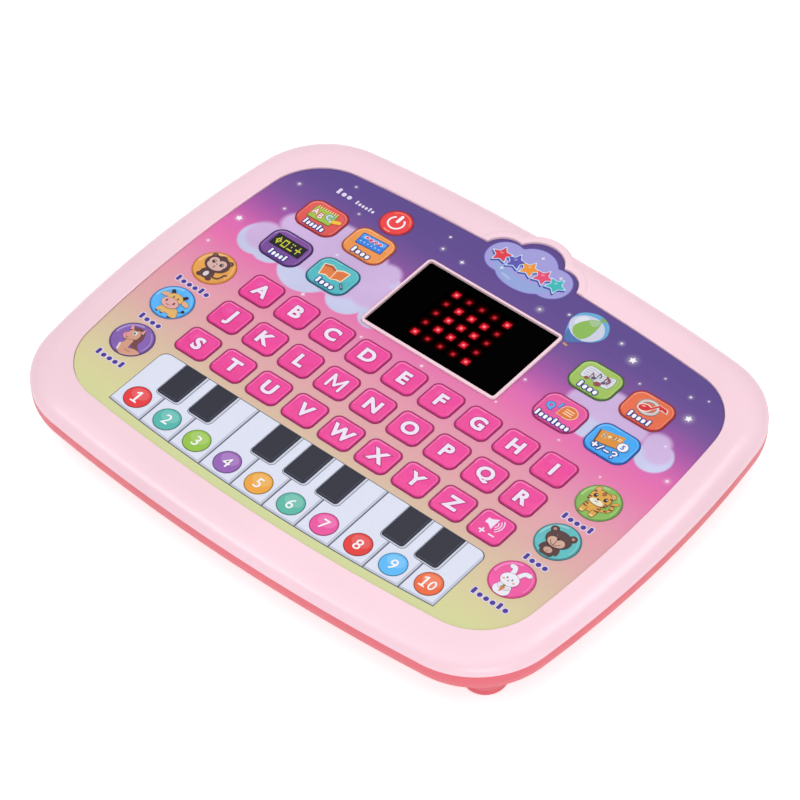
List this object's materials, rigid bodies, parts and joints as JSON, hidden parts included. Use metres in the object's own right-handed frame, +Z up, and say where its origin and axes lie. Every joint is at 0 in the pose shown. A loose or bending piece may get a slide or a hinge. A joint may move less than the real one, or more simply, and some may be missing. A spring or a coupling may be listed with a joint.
{
  "type": "kids toy tablet",
  "caption": "Flat toy tablet with a letter keypad, mode and animal keys, printed piano strip and dot display in a raised rim, on a dished base with feet.",
  "frame": {"origin": "centre of the footprint, on the plane that the feet rest on", "axes": "+X right and +Y to the back when the keypad is read, +Z up out of the face"},
  "size_m": [0.2452, 0.1896, 0.0255],
  "materials": {
    "pale_pink_shell": "satin moulded plastic",
    "coral_shell": "satin moulded plastic",
    "coral_cover": "satin moulded plastic",
    "printed_film": "printed film, colour running from violet at the back to yellow-green at the front",
    "white_foam": "closed-cell foam sheet",
    "clear_circuit_film": "polyester film with printed tracks",
    "smoked_window": "smoked pane",
    "red_lamps": "lit red",
    "green_board": "solder-masked board",
    "black_components": "moulded packages",
    "speaker_steel": "pressed basket",
    "cell_jacket": "printed steel jacket",
    "plated_spring_steel": "nickel plated",
    "screw_steel": "zinc plated",
    "red_wire": "flexible insulation",
    "key_power_red": "printed pad",
    "key_hot_pink": "printed pad",
    "key_red": "printed pad",
    "key_orange": "printed pad",
    "key_purple": "printed pad",
    "key_teal": "printed pad",
    "key_green": "printed pad",
    "key_orange_red": "printed pad",
    "key_rose": "printed pad",
    "key_blue": "printed pad",
    "disc_amber": "printed pad",
    "disc_sky": "printed pad",
    "disc_violet": "printed pad",
    "disc_lime": "printed pad",
    "disc_teal": "printed pad",
    "disc_pink": "printed pad"
  },
  "bodies": {
    "housing": {"battery_cells": "cell_jacket", "battery_contacts": "plated_spring_steel", "board_parts": "black_components", "bottom_housing": "coral_shell", "circuit_membrane": "clear_circuit_film", "display_board": "green_board", "display_dots": "red_lamps", "display_window": "smoked_window", "face_film": "printed_film", "housing_screws": "screw_steel", "main_board": "green_board", "small_screws": "screw_steel", "spacer_sheet": "white_foam", "speaker": "speaker_steel", "top_housing": "pale_pink_shell", "wiring": "red_wire"},
    "key_a": {"key_a": "key_hot_pink"},
    "key_b": {"key_b": "key_hot_pink"},
    "key_c": {"key_c": "key_hot_pink"},
    "key_d": {"key_d": "key_hot_pink"},
    "key_e": {"key_e": "key_hot_pink"},
    "key_f": {"key_f": "key_hot_pink"},
    "key_g": {"key_g": "key_hot_pink"},
    "key_h": {"key_h": "key_hot_pink"},
    "key_i": {"key_i": "key_hot_pink"},
    "key_j": {"key_j": "key_hot_pink"},
    "key_k": {"key_k": "key_hot_pink"},
    "key_l": {"key_l": "key_hot_pink"},
    "key_m": {"key_m": "key_hot_pink"},
    "key_n": {"key_n": "key_hot_pink"},
    "key_o": {"key_o": "key_hot_pink"},
    "key_p": {"key_p": "key_hot_pink"},
    "key_q": {"key_q": "key_hot_pink"},
    "key_r": {"key_r": "key_hot_pink"},
    "key_s": {"key_s": "key_hot_pink"},
    "key_t": {"key_t": "key_hot_pink"},
    "key_u": {"key_u": "key_hot_pink"},
    "key_v": {"key_v": "key_hot_pink"},
    "key_volume": {"key_volume": "key_hot_pink"},
    "key_w": {"key_w": "key_hot_pink"},
    "key_x": {"key_x": "key_hot_pink"},
    "key_y": {"key_y": "key_hot_pink"},
    "key_z": {"key_z": "key_hot_pink"},
    "mode_book": {"mode_book": "key_teal"},
    "mode_music": {"mode_music": "key_orange_red"},
    "mode_notebook": {"mode_notebook": "key_red"},
    "mode_question": {"mode_question": "key_rose"},
    "mode_song": {"mode_song": "key_green"},
    "mode_spelling": {"mode_spelling": "key_purple"},
    "mode_sums": {"mode_sums": "key_blue"},
    "mode_word_card": {"mode_word_card": "key_orange"},
    "animal_bear": {"animal_bear": "disc_teal"},
    "animal_calf": {"animal_calf": "disc_sky"},
    "animal_horse": {"animal_horse": "disc_violet"},
    "animal_monkey": {"animal_monkey": "disc_amber"},
    "animal_rabbit": {"animal_rabbit": "disc_pink"},
    "animal_tiger": {"animal_tiger": "disc_lime"},
    "power_key": {"power_key": "key_power_red"},
    "battery_cover": {"battery_cover": "coral_cover"},
    "battery_cover_screw": {"battery_cover_screw": "screw_steel"}
  },
  "joints": [
    {"name": "press_key_a", "type": "slide", "parent": "housing", "child": "key_a", "axis": [0, 0, -1], "range_m": [0, 0.00058]},
    {"name": "press_key_b", "type": "slide", "parent": "housing", "child": "key_b", "axis": [0, 0, -1], "range_m": [0, 0.00058]},
    {"name": "press_key_c", "type": "slide", "parent": "housing", "child": "key_c", "axis": [0, 0, -1], "range_m": [0, 0.00058]},
    {"name": "press_key_d", "type": "slide", "parent": "housing", "child": "key_d", "axis": [0, 0, -1], "range_m": [0, 0.00058]},
    {"name": "press_key_e", "type": "slide", "parent": "housing", "child": "key_e", "axis": [0, 0, -1], "range_m": [0, 0.00058]},
    {"name": "press_key_f", "type": "slide", "parent": "housing", "child": "key_f", "axis": [0, 0, -1], "range_m": [0, 0.00058]},
    {"name": "press_key_g", "type": "slide", "parent": "housing", "child": "key_g", "axis": [0, 0, -1], "range_m": [0, 0.00058]},
    {"name": "press_key_h", "type": "slide", "parent": "housing", "child": "key_h", "axis": [0, 0, -1], "range_m": [0, 0.00058]},
    {"name": "press_key_i", "type": "slide", "parent": "housing", "child": "key_i", "axis": [0, 0, -1], "range_m": [0, 0.00058]},
    {"name": "press_key_j", "type": "slide", "parent": "housing", "child": "key_j", "axis": [0, 0, -1], "range_m": [0, 0.00058]},
    {"name": "press_key_k", "type": "slide", "parent": "housing", "child": "key_k", "axis": [0, 0, -1], "range_m": [0, 0.00058]},
    {"name": "press_key_l", "type": "slide", "parent": "housing", "child": "key_l", "axis": [0, 0, -1], "range_m": [0, 0.00058]},
    {"name": "press_key_m", "type": "slide", "parent": "housing", "child": "key_m", "axis": [0, 0, -1], "range_m": [0, 0.00058]},
    {"name": "press_key_n", "type": "slide", "parent": "housing", "child": "key_n", "axis": [0, 0, -1], "range_m": [0, 0.00058]},
    {"name": "press_key_o", "type": "slide", "parent": "housing", "child": "key_o", "axis": [0, 0, -1], "range_m": [0, 0.00058]},
    {"name": "press_key_p", "type": "slide", "parent": "housing", "child": "key_p", "axis": [0, 0, -1], "range_m": [0, 0.00058]},
    {"name": "press_key_q", "type": "slide", "parent": "housing", "child": "key_q", "axis": [0, 0, -1], "range_m": [0, 0.00058]},
    {"name": "press_key_r", "type": "slide", "parent": "housing", "child": "key_r", "axis": [0, 0, -1], "range_m": [0, 0.00058]},
    {"name": "press_key_s", "type": "slide", "parent": "housing", "child": "key_s", "axis": [0, 0, -1], "range_m": [0, 0.00058]},
    {"name": "press_key_t", "type": "slide", "parent": "housing", "child": "key_t", "axis": [0, 0, -1], "range_m": [0, 0.00058]},
    {"name": "press_key_u", "type": "slide", "parent": "housing", "child": "key_u", "axis": [0, 0, -1], "range_m": [0, 0.00058]},
    {"name": "press_key_v", "type": "slide", "parent": "housing", "child": "key_v", "axis": [0, 0, -1], "range_m": [0, 0.00058]},
    {"name": "press_key_volume", "type": "slide", "parent": "housing", "child": "key_volume", "axis": [0, 0, -1], "range_m": [0, 0.00058]},
    {"name": "press_key_w", "type": "slide", "parent": "housing", "child": "key_w", "axis": [0, 0, -1], "range_m": [0, 0.00058]},
    {"name": "press_key_x", "type": "slide", "parent": "housing", "child": "key_x", "axis": [0, 0, -1], "range_m": [0, 0.00058]},
    {"name": "press_key_y", "type": "slide", "parent": "housing", "child": "key_y", "axis": [0, 0, -1], "range_m": [0, 0.00058]},
    {"name": "press_key_z", "type": "slide", "parent": "housing", "child": "key_z", "axis": [0, 0, -1], "range_m": [0, 0.00058]},
    {"name": "press_mode_book", "type": "slide", "parent": "housing", "child": "mode_book", "axis": [0, 0, -1], "range_m": [0, 0.00058]},
    {"name": "press_mode_music", "type": "slide", "parent": "housing", "child": "mode_music", "axis": [0, 0, -1], "range_m": [0, 0.00058]},
    {"name": "press_mode_notebook", "type": "slide", "parent": "housing", "child": "mode_notebook", "axis": [0, 0, -1], "range_m": [0, 0.00058]},
    {"name": "press_mode_question", "type": "slide", "parent": "housing", "child": "mode_question", "axis": [0, 0, -1], "range_m": [0, 0.00058]},
    {"name": "press_mode_song", "type": "slide", "parent": "housing", "child": "mode_song", "axis": [0, 0, -1], "range_m": [0, 0.00058]},
    {"name": "press_mode_spelling", "type": "slide", "parent": "housing", "child": "mode_spelling", "axis": [0, 0, -1], "range_m": [0, 0.00058]},
    {"name": "press_mode_sums", "type": "slide", "parent": "housing", "child": "mode_sums", "axis": [0, 0, -1], "range_m": [0, 0.00058]},
    {"name": "press_mode_word_card", "type": "slide", "parent": "housing", "child": "mode_word_card", "axis": [0, 0, -1], "range_m": [0, 0.00058]},
    {"name": "press_animal_bear", "type": "slide", "parent": "housing", "child": "animal_bear", "axis": [0, 0, -1], "range_m": [0, 0.00058]},
    {"name": "press_animal_calf", "type": "slide", "parent": "housing", "child": "animal_calf", "axis": [0, 0, -1], "range_m": [0, 0.00058]},
    {"name": "press_animal_horse", "type": "slide", "parent": "housing", "child": "animal_horse", "axis": [0, 0, -1], "range_m": [0, 0.00058]},
    {"name": "press_animal_monkey", "type": "slide", "parent": "housing", "child": "animal_monkey", "axis": [0, 0, -1], "range_m": [0, 0.00058]},
    {"name": "press_animal_rabbit", "type": "slide", "parent": "housing", "child": "animal_rabbit", "axis": [0, 0, -1], "range_m": [0, 0.00058]},
    {"name": "press_animal_tiger", "type": "slide", "parent": "housing", "child": "animal_tiger", "axis": [0, 0, -1], "range_m": [0, 0.00058]},
    {"name": "press_power_key", "type": "slide", "parent": "housing", "child": "power_key", "axis": [0, 0, -1], "range_m": [0, 0.00058]},
    {"name": "cover_swing", "type": "hinge", "parent": "housing", "child": "battery_cover", "pos_m": [0, -0.00755, 0.0024], "axis": [1, 0, 0], "range_deg": [0, 35]},
    {"name": "cover_screw_turn", "type": "hinge", "parent": "battery_cover", "child": "battery_cover_screw", "pos_m": [0, -0.0623, 0.0034], "axis": [0, 0, 1], "range_deg": [0, 1080]}
  ]
}
